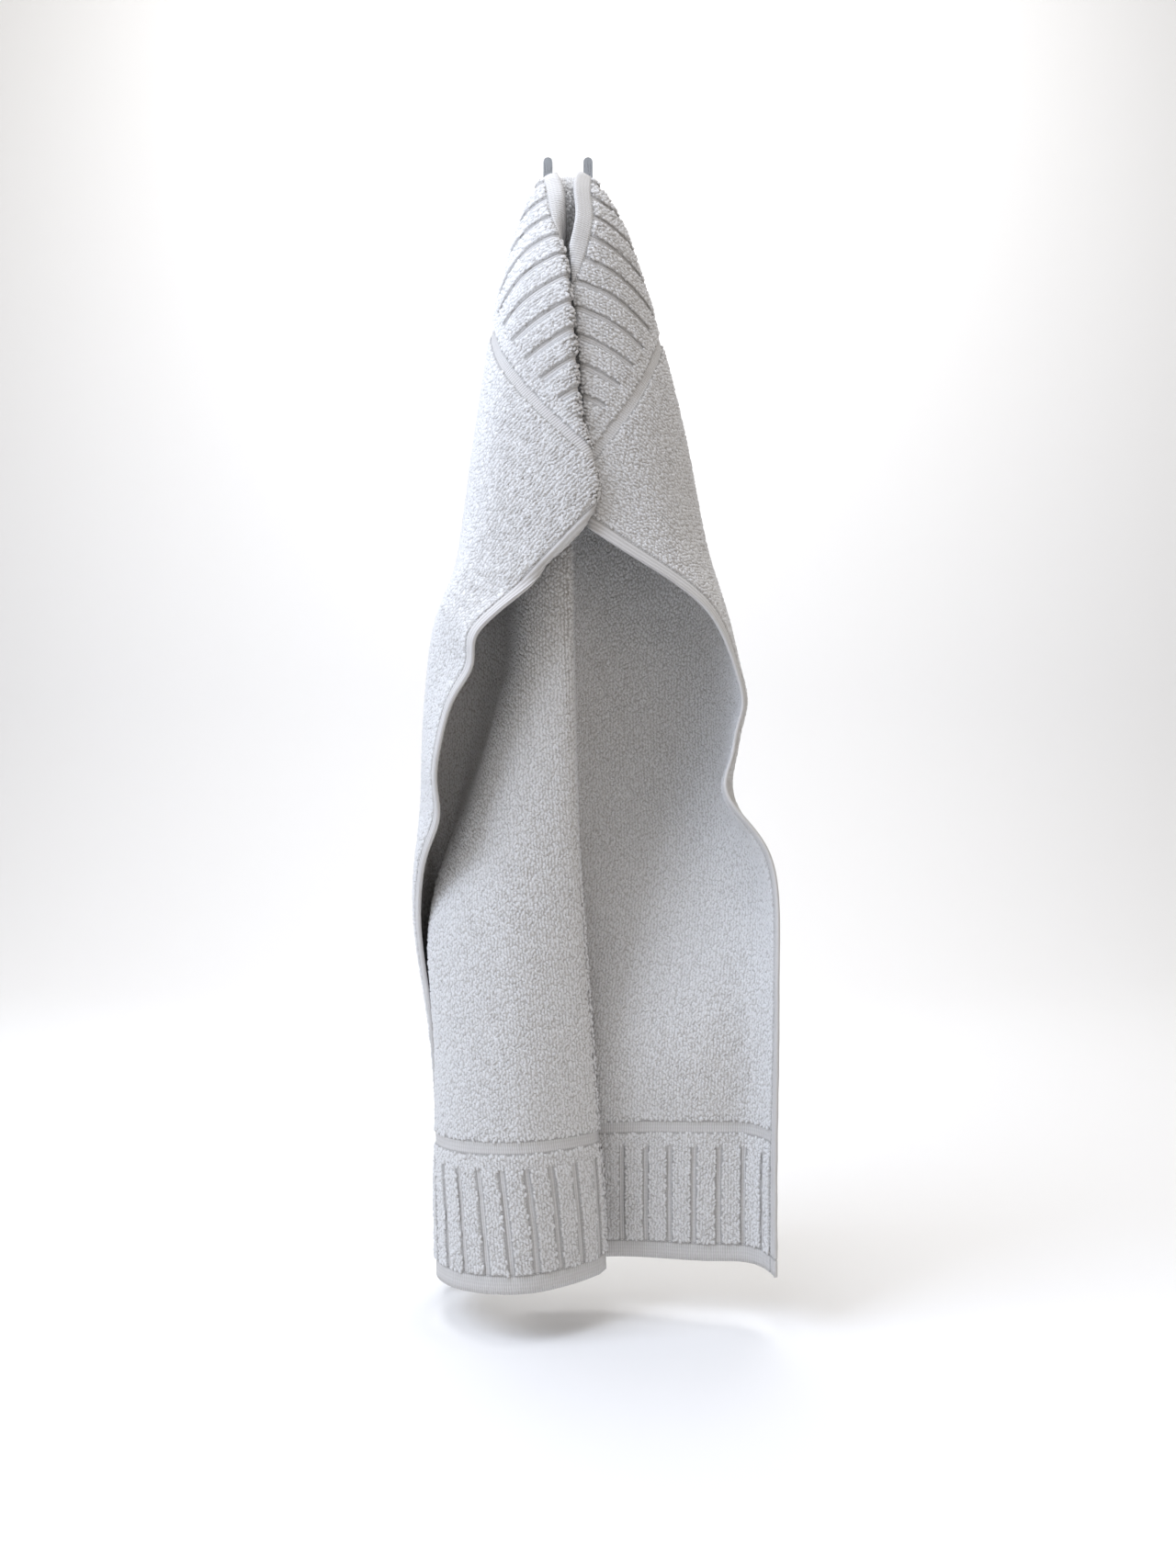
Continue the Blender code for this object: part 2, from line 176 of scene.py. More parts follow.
# The hang, in centimetres. Each level is a distance in the cloth from the middle of the hung end.
# At each level the cloth's course is drawn through named points, x to the right and d out from the
# wall, from the crest of the middle pleat out to each side and round to the front.
LEVELS_CM = (0, 0.9, 3, 6.5, 10, 20, 29, 35, 39, 45, 55, 65, 75, 86)
CREST_CM = ((0, 3.4), (0, 4.1), (0, 5), (0, 5.2), (0, 5.2), (0.1, 6.4), (0.1, 8.2),
            (0.2, 9), (0.3, 9), (0.5, 9), (1.2, 9), (1.9, 9.2), (2.5, 8.4), (2.9, 7.6))
RIGHT_CM = {
    "flank": ((0.1, 3.4), (0.4, 4.05), (0.8, 4.7), (1.2, 4.4), (1.2, 3.4), (-0.1, 3.4),
        (-0.4, 3.4), (-0.6, 3.2), (-0.6, 3.1), (-0.8, 3.6), (-2.2, 5.4), (-3.2, 7.2), (-3, 6.4),
        (-2.6, 5.4)),
    "valley": ((0.2, 3.4), (0.62, 4.05), (1.5, 4.6), (2.3, 3.5), (2.9, 2.1), (2, 1.4), (1.8, 1.1),
        (1.6, 0.9), (1.6, 0.9), (1.8, 1.4), (2.6, 4), (3, 7.1), (3.2, 6.2), (3.4, 5.2)),
    "corner": ((0.25, 3.4), (0.8, 4.1), (1.9, 4.7), (3.4, 3.8), (4.7, 2.9), (7, 1.6), (8.9, 1.2),
        (10.6, 1.2), (11, 1.2), (11, 1.6), (11, 5), (9.6, 8.2), (9.6, 7.7), (9.6, 7.2)),
    "side": ((0.3, 3.45), (0.95, 4.3), (2.2, 5.1), (4.1, 4.9), (5.4, 4.6), (8.3, 4.8), (10.2, 5),
        (11.8, 5.5), (12.3, 5.8), (12.3, 6), (13.7, 7), (13.1, 8.9), (13.1, 8.5), (13.1, 8.1)),
    "lip": ((0.25, 3.5), (0.9, 4.55), (1.5, 5.9), (2.5, 7), (3.2, 7.6), (5, 8.8), (7, 9.6),
        (10.3, 9.7), (11.6, 9.6), (11.6, 10.2), (14.2, 9.6), (14.3, 10.8), (14.3, 10.5),
        (14.4, 10.2)),
    "roll": ((0.2, 3.55), (0.7, 4.7), (0.4, 6.4), (0.15, 7.9), (0.35, 8.5), (1.2, 9.7),
        (1.7, 10.8), (5, 12.4), (8, 13.4), (10.8, 14.6), (14.2, 13), (14.4, 13), (14.5, 12.8),
        (14.6, 12.8)),
    "tuck": ((0.1, 3.55), (0.5, 4.7), (-0.2, 6.3), (-0.3, 7.6), (1.4, 6.8), (4.6, 5.2), (4.8, 7.4),
        (2, 14), (5, 16), (9.6, 18), (14, 17), (14.6, 17), (14.7, 16.8), (14.7, 16.8)),
}
LEFT_CM = {
    "flank": ((-0.1, 3.4), (-0.4, 4.05), (-0.8, 4.7), (-1.1, 4.5), (-1.2, 4.2), (-2.2, 5),
        (-2.8, 7.4), (-2.8, 8.5), (-3, 9), (-3.5, 9.4), (-3.2, 10.4), (-2.8, 11.3), (-2.6, 11.8),
        (-2.6, 12)),
    "valley": ((-0.17, 3.4), (-0.55, 4.04), (-1.2, 4.6), (-1.7, 3.9), (-2, 3.6), (-3, 2.8),
        (-4, 4), (-4.1, 5.8), (-4.9, 6.8), (-6.3, 7.2), (-7.4, 9), (-7.3, 9.7), (-7.4, 10.2),
        (-7.2, 10.5)),
    "corner": ((-0.22, 3.4), (-0.7, 4.06), (-1.6, 4.6), (-2.4, 3.6), (-3, 3), (-4.2, 1.3),
        (-4.9, 1.4), (-4.8, 2.2), (-5.6, 2.8), (-7.3, 3.4), (-9.9, 6), (-9.5, 6.4), (-9.5, 6.4),
        (-9.4, 6.6)),
    "back": ((-0.27, 3.42), (-0.83, 4.12), (-1.95, 4.75), (-3.1, 3.8), (-4.1, 3), (-6, 1),
        (-7.2, 0.9), (-6.8, 0.8), (-7.3, 0.9), (-8.3, 1.2), (-8.8, 2), (-8.3, 2.3), (-8.4, 2.8),
        (-8.4, 3)),
    "side": ((-0.3, 3.47), (-0.95, 4.3), (-2.2, 5.1), (-3.7, 4.8), (-4.8, 4.8), (-6.7, 4.8),
        (-8, 5), (-9.2, 4.2), (-9.6, 3.2), (-9.9, 2.4), (-10.2, 1), (-8.8, 1), (-8.5, 1.2),
        (-8.2, 1.4)),
    "lip": ((-0.25, 3.5), (-0.9, 4.55), (-1.6, 5.8), (-2.6, 6.7), (-3, 8), (-4.8, 9.2), (-6, 10.2),
        (-9, 9.4), (-9.8, 8.2), (-10.4, 6.6), (-11, 2.6), (-9.9, 1.5), (-9.2, 1), (-8.9, 1)),
    "roll": ((-0.2, 3.55), (-0.7, 4.7), (-0.5, 6.1), (-0.85, 7.5), (-0.15, 9), (0.8, 10.7),
        (1.4, 11.7), (-5.6, 12.4), (-7, 12.8), (-8.8, 12), (-11.1, 6), (-10.1, 4.6), (-9.5, 2.4),
        (-9.3, 2)),
    "tuck": ((-0.1, 3.55), (-0.5, 4.7), (0.1, 5.9), (0, 6.5), (-1.2, 7.2), (-3.6, 5.6), (-2, 8),
        (-1.6, 14), (-4.4, 16), (-7, 15), (-10.3, 8), (-9.8, 6.5), (-9.7, 5), (-9.6, 4)),
}
# Small kinks of the long sides: where along the towel, over what length, and how far to the
# right and out from the wall.
KINKS_CM = {
    "side": (-1, -1, -1, 1, 1),
    "along": (26.5, 29.8, 42.5, 34.5, 44.5),
    "reach": (2, 2.2, 2.4, 3, 3.6),
    "right": (-0.4, 0.5, 0.7, 0.5, -1.9),
    "out": (0, 0, 0.3, 0, 0.4),
}


def smooth_between(levels: np.ndarray, values: np.ndarray, at: float) -> np.ndarray:
    """Values at one level, on smooth curves through a table's rows.

    Args:
        levels: the level of each row.
        values: a row of numbers for each level.
        at: the level that is asked for.

    Returns:
        One row of numbers.
    """
    step = np.diff(levels)[:, None]
    rate = np.diff(values, axis=0) / step
    slope = np.empty_like(values)
    slope[1:-1] = (step[1:] * rate[:-1] + step[:-1] * rate[1:]) / (step[1:] + step[:-1])
    slope[0], slope[-1] = rate[0], rate[-1]
    i = int(np.clip(np.searchsorted(levels, at, side="right") - 1, 0, len(levels) - 2))
    h = levels[i + 1] - levels[i]
    t = (at - levels[i]) / h
    return ((2 * t ** 3 - 3 * t ** 2 + 1) * values[i] + (t ** 3 - 2 * t ** 2 + t) * h * slope[i]
            + (3 * t ** 2 - 2 * t ** 3) * values[i + 1] + (t ** 3 - t ** 2) * h * slope[i + 1])


def rounded_course(points: np.ndarray, steps: int = 14) -> np.ndarray:
    """A dense smooth course through points[1] to points[-2].

    Args:
        points: the named points, with one more before and after them.
        steps: points on each stretch.

    Returns:
        The points of the course.
    """
    dense = []
    for four in zip(points, points[1:], points[2:], points[3:]):
        gaps = [math.sqrt(max(np.linalg.norm(b - a), 1e-6)) for a, b in zip(four, four[1:])]
        knot = [0.0, *np.cumsum(gaps)]
        t = np.linspace(knot[1], knot[2], steps, endpoint=False)[:, None]
        blend = list(four)
        for pairs in (((0, 1), (1, 2), (2, 3)), ((0, 2), (1, 3)), ((1, 2),)):
            blend = [(knot[j] - t) / (knot[j] - knot[i]) * a
                     + (t - knot[i]) / (knot[j] - knot[i]) * b
                     for (i, j), a, b in zip(pairs, blend, blend[1:])]
        dense.append(blend[0])
    dense.append(points[-2][None])
    return np.vstack(dense)


@dataclass
class Hang:
    """Where each point of the flat towel hangs.

    At each level the cloth lies along its course by its true length, out from the crest. Its
    height follows from its true length along each line from the middle of the hung end.
    """

    hook_height: float = 0.020
    start_height_cm: float = 0.5
    over_saddle_cm: float = 0.45
    turn_cm: float = 0.2
    least_fall_squared: float = 0.04  # where the cloth runs nearly level
    upper_stretch: float = 1.10  # of the cloth near the hook, where the loose weave gives
    lower_stretch: float = 0.97
    stretch_ends_cm: tuple[float, float] = (24, 40)
    right_side_shorter: float = 0.009
    shorter_from_cm: float = 2.0
    kink_width_cm: float = 6.5
    half_width_cm: float = 25.0
    fine_to_cm: float = 10.0  # the grid of places is finer up to here, near the hook
    fine_steps: int = 61
    far_steps: int = 229
    angle_steps: int = 241
    distances: np.ndarray = field(init=False)
    angles: np.ndarray = field(init=False)
    grid: np.ndarray = field(init=False)

    def __post_init__(self) -> None:
        """Work out the grid of places, by distance and angle in the flat cloth."""
        levels = np.array(LEVELS_CM, float)
        halves = []
        for half in (RIGHT_CM, LEFT_CM):
            rows = [CREST_CM] + [half[name] for name in half]
            halves.append(np.array(rows, float).transpose(1, 0, 2))
        near = np.linspace(0, self.fine_to_cm, self.fine_steps)
        far = np.linspace(self.fine_to_cm, LEVELS_CM[-1], self.far_steps)
        self.distances = np.concatenate([near, far[1:]])
        self.angles = np.linspace(0, math.pi, self.angle_steps)
        grid = np.zeros((len(self.distances), len(self.angles), 3))
        for i, distance in enumerate(self.distances):
            right, left = (smooth_between(levels, half.reshape(len(half), -1), distance)
                           .reshape(-1, 2) for half in halves)
            for own, other, sign in ((right, left, 1), (left, right, -1)):
                mine = sign * (math.pi / 2 - self.angles) >= -1e-9
                length = distance * np.abs(math.pi / 2 - self.angles[mine])
                grid[i, mine, :2] = self.along_course(own, other, length)
        grid[..., 2] = self.heights(grid)
        self.grid = grid / 100.0

    @staticmethod
    def along_course(own: np.ndarray, other: np.ndarray, length: np.ndarray) -> np.ndarray:
        """Points at given lengths along one half's course.

        Args:
            own: the named points of this half, from the crest.
            other: those of the other half, whose first stretch sets the turn over the crest.
            length: lengths from the crest, in centimetres.

        Returns:
            x and y of each point, in centimetres.
        """
        course = rounded_course(np.vstack([other[1:2], own, (2 * own[-1] - own[-2])[None]]))
        steps = np.linalg.norm(np.diff(course, axis=0), axis=1)
        run = np.concatenate([[0], np.cumsum(steps)])
        ahead = (course[-1] - course[-2]) / max(steps[-1], 1e-9)
        beyond = np.maximum(length - run[-1], 0)[:, None] * ahead
        x = np.interp(length, run, course[:, 0]) + beyond[:, 0]
        y = -np.interp(length, run, course[:, 1]) - beyond[:, 1]
        return np.stack([x, y], axis=-1)

    def heights(self, grid: np.ndarray) -> np.ndarray:
        """Heights of the grid's points, from the cloth's true length.

        Args:
            grid: places of which x and y are known, in centimetres.

        Returns:
            The height of each place above the saddle, in centimetres.
        """
        sideways = np.linalg.norm(np.gradient(grid[..., :2], self.distances, axis=0), axis=2)
        falling = -np.tanh((self.distances - self.over_saddle_cm) / self.turn_cm)[:, None]
        fall = np.sqrt(np.clip(1 - sideways ** 2, self.least_fall_squared, 1)) * falling
        middle = 0.5 * (self.distances[1:] + self.distances[:-1])
        stretch = np.interp(middle, self.stretch_ends_cm, [self.upper_stretch, self.lower_stretch])
        drop = 0.5 * (fall[1:] + fall[:-1]) * (stretch * np.diff(self.distances))[:, None]
        first = np.zeros((1, grid.shape[1]))
        return self.start_height_cm + np.vstack([first, np.cumsum(drop, axis=0)])

    def place(self, across: np.ndarray, along: np.ndarray) -> np.ndarray:
        """Points in space for points of the flat towel.

        Args:
            across: metres from the towel's centre line, to the right.
            along: metres from the hung end.

        Returns:
            x, y and z of each point, in metres.
        """
        u, v = np.broadcast_arrays(np.asarray(across) * 100.0, np.asarray(along) * 100.0)
        beyond, most = u - self.shorter_from_cm, self.half_width_cm - self.shorter_from_cm
        drawn_up = v * (1 - self.right_side_shorter * (np.clip(beyond, 0, most) / most) ** 1.5)
        distance, angle = np.hypot(u, drawn_up), np.arctan2(drawn_up, u)
        i = np.clip(np.searchsorted(self.distances, distance, side="right") - 1,
                    0, len(self.distances) - 2)
        gap = self.distances[i + 1] - self.distances[i]
        a = ((distance - self.distances[i]) / gap)[..., None]
        turn = np.clip(angle / math.pi, 0, 1) * (len(self.angles) - 1)
        j = np.clip(turn.astype(int), 0, len(self.angles) - 2)
        b = (turn - j)[..., None]
        g = self.grid
        point = ((1 - a) * (1 - b) * g[i, j] + a * (1 - b) * g[i + 1, j]
                 + (1 - a) * b * g[i, j + 1] + a * b * g[i + 1, j + 1])
        for side, centre, reach, right, out in zip(*KINKS_CM.values()):
            share = np.clip(1 + (side * u - self.half_width_cm) / self.kink_width_cm, 0, 1)
            share = share ** 2 * (3 - 2 * share) * np.exp(-((v - centre) / reach) ** 2)
            point = point + share[..., None] * np.array([right, -out, 0.0]) / 100.0
        return point + np.array([0, 0, self.hook_height])

    def facing(self, across: np.ndarray, along: np.ndarray, cut: TowelCut,
               reach: float = 0.002) -> np.ndarray:
        """Unit normals of the hung cloth, out of its outer face.

        Args:
            across: metres from the towel's centre line.
            along: metres from the hung end.
            cut: the towel's flat sizes.
            reach: how far to each side the slope is taken.

        Returns:
            One unit vector for each point.
        """
        side = cut.width / 2
        low, high = np.maximum(along - reach, 0), np.minimum(along + reach, cut.length)
        left, right = np.maximum(across - reach, -side), np.minimum(across + reach, side)
        normal = np.cross(self.place(right, along) - self.place(left, along),
                          self.place(across, high) - self.place(across, low))
        return normal / np.maximum(np.linalg.norm(normal, axis=-1, keepdims=True), 1e-12)


class FlatPlace(NamedTuple):
    """A shading point's place in the flat cloth, as nodes with values in metres."""

    add: Callable[..., Node]  # adds a node to the same tree
    where: Node
    across: NodeSocket
    along: NodeSocket
    from_end: Node
    from_side: Node
    from_groove: Node


@dataclass(frozen=True)
class LoopPileCotton:
    """Bleached cotton terry, woven with loops on both faces.

    The loops give a matt, grainy white with painted shade in the gaps between them, and the flat
    weaves of hems, grooves and bands a smoother, slightly greyer one, with painted shade between
    their cords. Painted shade also lies at the foot of the pile along each flat weave.
    """

    cut: TowelCut
    loop: str = "#E6E6E6"
    # painted shade: the grey between the loops, between the cords and at each loop's foot
    gap: str = "#C2C0BE"
    flat_weave: str = "#D9D8D7"
    edge_shade: float = 0.72  # at the foot of the pile, beside each flat weave
    edge_reach: tuple[float, float] = (0.4 * MM, 1.3 * MM)
    patch_pitch: float = 35 * MM  # slow changes of tone from washing
    patch_shade: float = 0.965
    roughness: float = 0.92
    sheen: float = 0.18
    loop_sheen: float = 0.25
    sheen_roughness: float = 0.45
    specular: float = 0.25
    loop_specular: float = 0.2
    ground_pitch: float = 1.6 * MM  # the ground weave between the loops
    stir_pitch: float = 4.0 * MM  # how the ground's rows wander, and how far
    stir_reach: float = 1.6 * MM
    fuzz_pitch: float = 0.7 * MM  # single yarns of a loop, drawn at twice their 0.35 mm
    cord_pitch: float = 1.6 * MM  # cross cords of the flat weave, the lines over them
    line_pitch: float = 1.6 * MM / 0.6  # and the lines along the side hems
    hem_pitch: float = 2.4 * MM
    ragged_pitch: float = 2.6 * MM  # how the pile's edge wanders, and how far
    ragged: float = 0.8 * MM
    side_ragged: float = 0.4  # the share of it along the side hems
    soft: float = 0.5 * MM  # half the width of the step from pile to flat weave
    ground_relief: float = 0.5 * MM
    flat_relief: float = 0.35 * MM
    fuzz_relief: float = 0.25 * MM
    loop_relief: float = 0.4 * MM
    map_name: str = "flat_cloth"
    tip_name: str = "tip"

    def material(self) -> Material:
        """The cloth's material.

        Returns:
            A material that reads the flat cloth's coordinates, in metres.
        """
        made, shader = start_material(
            "bleached_cotton_terry", Roughness=self.roughness, Sheen_Weight=self.sheen,
            Sheen_Roughness=self.sheen_roughness, Specular_IOR_Level=self.specular)
        tree = made.node_tree
        flat = self.flat_place(tree)
        add = flat.add
        pile = self.pile_mask(flat)
        loops, fuzz = self.loops(flat)
        cords = self.cords(flat)
        no_pile = add(MATH, SUBTRACT, {0: 1.0, 1: pile})
        height = 0.0
        for relief, share, depth in ((loops, pile, self.ground_relief),
                                     (cords, no_pile, self.flat_relief),
                                     (fuzz, 1.0, self.fuzz_relief)):
            shown = add(MATH, MULTIPLY, {0: relief, 1: share})
            height = add(MATH, MULTIPLY_ADD, {0: shown, 1: depth, 2: height})
        bump = add(BUMP, {"Strength": 0.9, "Distance": 1.0}, {"Height": height})
        tree.links.new(bump.outputs[0], shader.inputs["Normal"])
        tree.links.new(self.colour(flat, loops, cords, pile), shader.inputs["Base Color"])
        return made

    def loop_material(self) -> Material:
        """The material of the single loops of pile.

        Returns:
            A white with painted shade towards each loop's foot, roughened by its yarns.
        """
        made, shader = start_material(
            "cotton_pile_loops", Roughness=self.roughness, Sheen_Weight=self.loop_sheen,
            Sheen_Roughness=self.sheen_roughness, Specular_IOR_Level=self.loop_specular)
        add, link = partial(add_node, made.node_tree), made.node_tree.links.new
        where = add("ShaderNodeUVMap", {"uv_map": self.map_name})
        yarns = add(NOISE, {"Scale": 1 / self.fuzz_pitch, "Detail": 2.0}, {"Vector": where})
        bump = add(BUMP, {"Strength": 0.7, "Distance": self.loop_relief}, {"Height": yarns})
        tip = add("ShaderNodeAttribute", {"attribute_name": self.tip_name}).outputs["Fac"]
        # painted shade: each loop darkens to the gap's grey towards its foot
        lit = add(STEP, SMOOTH, {0: tip, 1: 0.0, 2: 0.75})
        colour = add(MIX, COLOURS, {0: lit, 6: srgb(self.gap), 7: srgb(self.loop)})
        link(bump.outputs[0], shader.inputs["Normal"])
        link(colour.outputs[2], shader.inputs["Base Color"])
        return made

    def flat_place(self, tree: NodeTree) -> FlatPlace:
        """The shading point's place in the flat cloth.

        Args:
            tree: the material's nodes.

        Returns:
            Its coordinates, and its distances from the nearest end, side and groove.
        """
        cut, add = self.cut, partial(add_node, tree)
        where = add("ShaderNodeUVMap", {"uv_map": self.map_name})
        across, along = add("ShaderNodeSeparateXYZ", links={0: where}).outputs[:2]
        other_end = add(MATH, SUBTRACT, {0: cut.length, 1: along})
        from_end = add(MATH, MINIMUM, {0: along, 1: other_end})
        from_middle = add(MATH, ABSOLUTE, {0: across})
        from_side = add(MATH, SUBTRACT, {0: cut.width / 2, 1: from_middle})
        from_groove = across  # counted in ribs, from so far left that it stays above 0
        for operation, value in (("DIVIDE", cut.pitch), ("ADD", 100.0), ("FRACT", 0.0),
                                 ("SUBTRACT", 0.5), ("ABSOLUTE", 0.0), ("MULTIPLY", cut.pitch)):
            from_groove = add(MATH, {"operation": operation}, {0: from_groove, 1: value})
        return FlatPlace(add, where, across, along, from_end, from_side, from_groove)

    def past_lines(self, flat: FlatPlace) -> tuple[Node, ...]:
        """Soft steps from 0 to 1 where the weave changes.

        Args:
            flat: the place in the flat cloth.

        Returns:
            Steps at the groove's side, the ribs' end, the strip's end, the band's end, the end hem
            and the side hem.
        """
        cut = self.cut
        lines = ((flat.from_groove, cut.groove_width / 2), (flat.from_end, cut.ribs_end),
                 (flat.from_end, cut.strip_end), (flat.from_end, cut.band_end),
                 (flat.from_end, cut.end_hem), (flat.from_side, cut.side_hem))
        soft = self.soft
        return tuple(flat.add(STEP, SMOOTH, {0: distance, 1: line - soft, 2: line + soft})
                     for distance, line in lines)

    def pile_mask(self, flat: FlatPlace) -> Node:
        """1 where loops stand and 0 on hems, grooves and bands.

        Args:
            flat: the place in the flat cloth.

        Returns:
            The mask's node.
        """
        add = flat.add
        wander = add(NOISE, {"Scale": 1 / self.ragged_pitch, "Detail": 2.0}, {"Vector": flat.where})
        shift = add(MATH, MULTIPLY_ADD, {0: wander, 1: 2 * self.ragged, 2: -self.ragged})
        shares = {"from_end": 1.0, "from_side": self.side_ragged, "from_groove": 1.0}
        moved = {name: add(MATH, MULTIPLY_ADD, {0: shift, 1: share, 2: getattr(flat, name)})
                 for name, share in shares.items()}
        groove, ribs, strip, band, end_hem, side_hem = self.past_lines(flat._replace(**moved))
        before_band = add(MATH, SUBTRACT, {0: 1.0, 1: strip})
        off_band = add(MATH, MAXIMUM, {0: before_band, 1: band})
        mask = add(MATH, MAXIMUM, {0: groove, 1: ribs})
        mask = add(MATH, MINIMUM, {0: mask, 1: off_band})
        for hem in (end_hem, side_hem):
            mask = add(MATH, MULTIPLY, {0: mask, 1: hem})
        return mask

    def loops(self, flat: FlatPlace) -> tuple[Node, Node]:
        """Heights of the loops and of the fuzz on them, from 0 to 1.

        Args:
            flat: the place in the flat cloth.

        Returns:
            The nodes of the two heights.
        """
        add = flat.add
        stirred = add(NOISE, {"Scale": 1 / self.stir_pitch, "Detail": 1.0}, {"Vector": flat.where})
        stir = add(VECTOR, {"operation": "SCALE", 3: self.stir_reach}, {0: stirred.outputs[1]})
        moved = add(VECTOR, ADD, {0: flat.where, 1: stir})
        cells = add("ShaderNodeTexVoronoi", {"feature": "SMOOTH_F1", "Scale": 1 / self.ground_pitch,
                                             "Smoothness": 0.35}, {"Vector": moved})
        loops = add(STEP, SMOOTH, {0: cells, 1: 0.1, 2: 0.75, 3: 1.0, 4: 0.0})
        fuzz = add(NOISE, {"Scale": 1 / self.fuzz_pitch, "Detail": 3.0}, {"Vector": flat.where})
        return loops, fuzz

    def cords(self, flat: FlatPlace) -> Node:
        """Height of the flat weave: cross cords at the ends and lines along the side hems.

        Args:
            flat: the place in the flat cloth.

        Returns:
            The node of the height, from 0 to 1.
        """
        add, hem = flat.add, self.cut.side_hem
        waves = []
        for distance, pitch in ((flat.across, self.cord_pitch), (flat.along, self.line_pitch),
                                (flat.from_side, self.hem_pitch)):
            angle = add(MATH, MULTIPLY, {0: distance, 1: 2 * math.pi / pitch})
            waves.append(add(MATH, {"operation": "SINE"}, {0: angle}))
        cross, lines, long_lines = waves
        both = add(MATH, MULTIPLY_ADD, {0: lines, 1: 0.25, 2: cross})
        side = add(STEP, SMOOTH, {0: flat.from_side, 1: hem, 2: hem + self.soft, 3: 1.0, 4: 0.0})
        mixed = add(MIX, {"data_type": "FLOAT"}, {0: side, 2: both, 3: long_lines})
        return add(MATH, MULTIPLY_ADD, {0: mixed, 1: 0.4, 2: 0.5})

    def colour(self, flat: FlatPlace, loops: Node, cords: Node, pile: Node) -> NodeSocket:
        """Colour of the cloth: white loops and flat weave over painted shade in their gaps.

        Args:
            flat: the place in the flat cloth.
            loops: height of the loops.
            cords: height of the flat weave.
            pile: where loops stand.

        Returns:
            The colour's socket.
        """
        add = flat.add
        # the gap's grey is painted shade between the loops and between the cords; foot_shade adds
        # painted shade along each flat weave
        gap = srgb(self.gap)
        looped = add(MIX, COLOURS, {0: loops, 6: gap, 7: srgb(self.loop)}).outputs[2]
        woven = add(MIX, COLOURS, {0: cords, 6: gap, 7: srgb(self.flat_weave)}).outputs[2]
        cloth = add(MIX, COLOURS, {0: pile, 6: woven, 7: looped}).outputs[2]
        patches = add(NOISE, {"Scale": 1 / self.patch_pitch, "Detail": 2.0}, {"Vector": flat.where})
        patches = add(STEP, NOISE_STEP, {0: patches, 3: self.patch_shade, 4: 1.0})
        shade = add(MATH, MULTIPLY, {0: patches, 1: self.foot_shade(flat)})
        return add(MIX, TINT, {0: 1.0, 6: cloth, 7: shade}).outputs[2]

    def foot_shade(self, flat: FlatPlace) -> Node:
        """Shade at the foot of the pile, along every edge of a flat weave.

        Args:
            flat: the place in the flat cloth.

        Returns:
            The node of the shade, 1 where there is none.
        """
        cut, add = self.cut, flat.add
        _, past_ribs, _, _, past_end_hem, past_side_hem = self.past_lines(flat)
        end_hem, side_hem = (add(MATH, SUBTRACT, {0: 1.0, 1: past})
                             for past in (past_end_hem, past_side_hem))
        hems = add(MATH, MAXIMUM, {0: end_hem, 1: side_hem})
        no_groove = add(MATH, MAXIMUM, {0: past_ribs, 1: hems})
        shade = 1.0
        for distance, line, none_here in ((flat.from_end, cut.end_hem, 0.0),
                                          (flat.from_side, cut.side_hem, 0.0),
                                          (flat.from_end, cut.strip_end, side_hem),
                                          (flat.from_end, cut.band_end, side_hem),
                                          (flat.from_groove, cut.groove_width / 2, no_groove)):
            off = add(MATH, SUBTRACT, {0: distance, 1: line})
            off = add(MATH, ABSOLUTE, {0: off})
            near, far = self.edge_reach
            edge = add(STEP, SMOOTH, {0: off, 1: near, 2: far, 3: self.edge_shade, 4: 1.0})
            edge = add(MATH, MAXIMUM, {0: edge, 1: none_here})
            shade = add(MATH, MULTIPLY, {0: shade, 1: edge})
        return shade


@dataclass(frozen=True)
class BrushedStainlessSteel:
    """Stainless steel, ground along its length with fine grit, which draws its highlights out."""

    base: str = "#A9ADB2"
    roughness: float = 0.34
    scratch_pitch: float = 0.3 * MM  # grit lines of 0.1 mm, drawn three times as coarse
    scratch_squeeze: float = 0.03  # of their length, so that they run upright
    scratch_depth: float = 0.05 * MM

    def material(self) -> Material:
        """The steel's material.

        Returns:
            A metal with fine upright scratches.
        """
        made, shader = start_material("brushed_stainless_steel", Base_Color=srgb(self.base),
                                      Metallic=1.0)
        add, link = partial(add_node, made.node_tree), made.node_tree.links.new
        where = add("ShaderNodeTexCoord").outputs["Object"]
        upright = add(VECTOR, MULTIPLY, {0: where, 1: (1.0, 1.0, self.scratch_squeeze)})
        scratch = add(NOISE, {"Scale": 1 / self.scratch_pitch, "Detail": 2.0}, {"Vector": upright})
        smoother, rougher = self.roughness - 0.08, self.roughness + 0.1
        rough = add(STEP, NOISE_STEP, {0: scratch, 3: smoother, 4: rougher})
        bump = add(BUMP, {"Strength": 0.25, "Distance": self.scratch_depth}, {"Height": scratch})
        link(rough.outputs[0], shader.inputs["Roughness"])
        link(bump.outputs[0], shader.inputs["Normal"])
        return made


@dataclass(frozen=True)
class PolyesterThread:
    """Spun polyester sewing thread, a little whiter and glossier than the cloth it lies in."""

    base: str = "#E2E2E0"
    roughness: float = 0.6
    twist_pitch: float = 0.8 * MM
    twist_shade: float = 0.86

    def material(self) -> Material:
        """The thread's material.

        Returns:
            A thread with a slight twist in its colour.
        """
        made, shader = start_material("spun_sewing_thread", Roughness=self.roughness)
        add = partial(add_node, made.node_tree)
        where = add("ShaderNodeTexCoord").outputs["Object"]
        twist = add(NOISE, {"Scale": 1 / self.twist_pitch, "Detail": 2.0}, {"Vector": where})
        shade = add(STEP, NOISE_STEP, {0: twist, 3: self.twist_shade, 4: 1.0})
        colour = add(MIX, TINT, {0: 1.0, 6: srgb(self.base), 7: shade})
        made.node_tree.links.new(colour.outputs[2], shader.inputs["Base Color"])
        return made


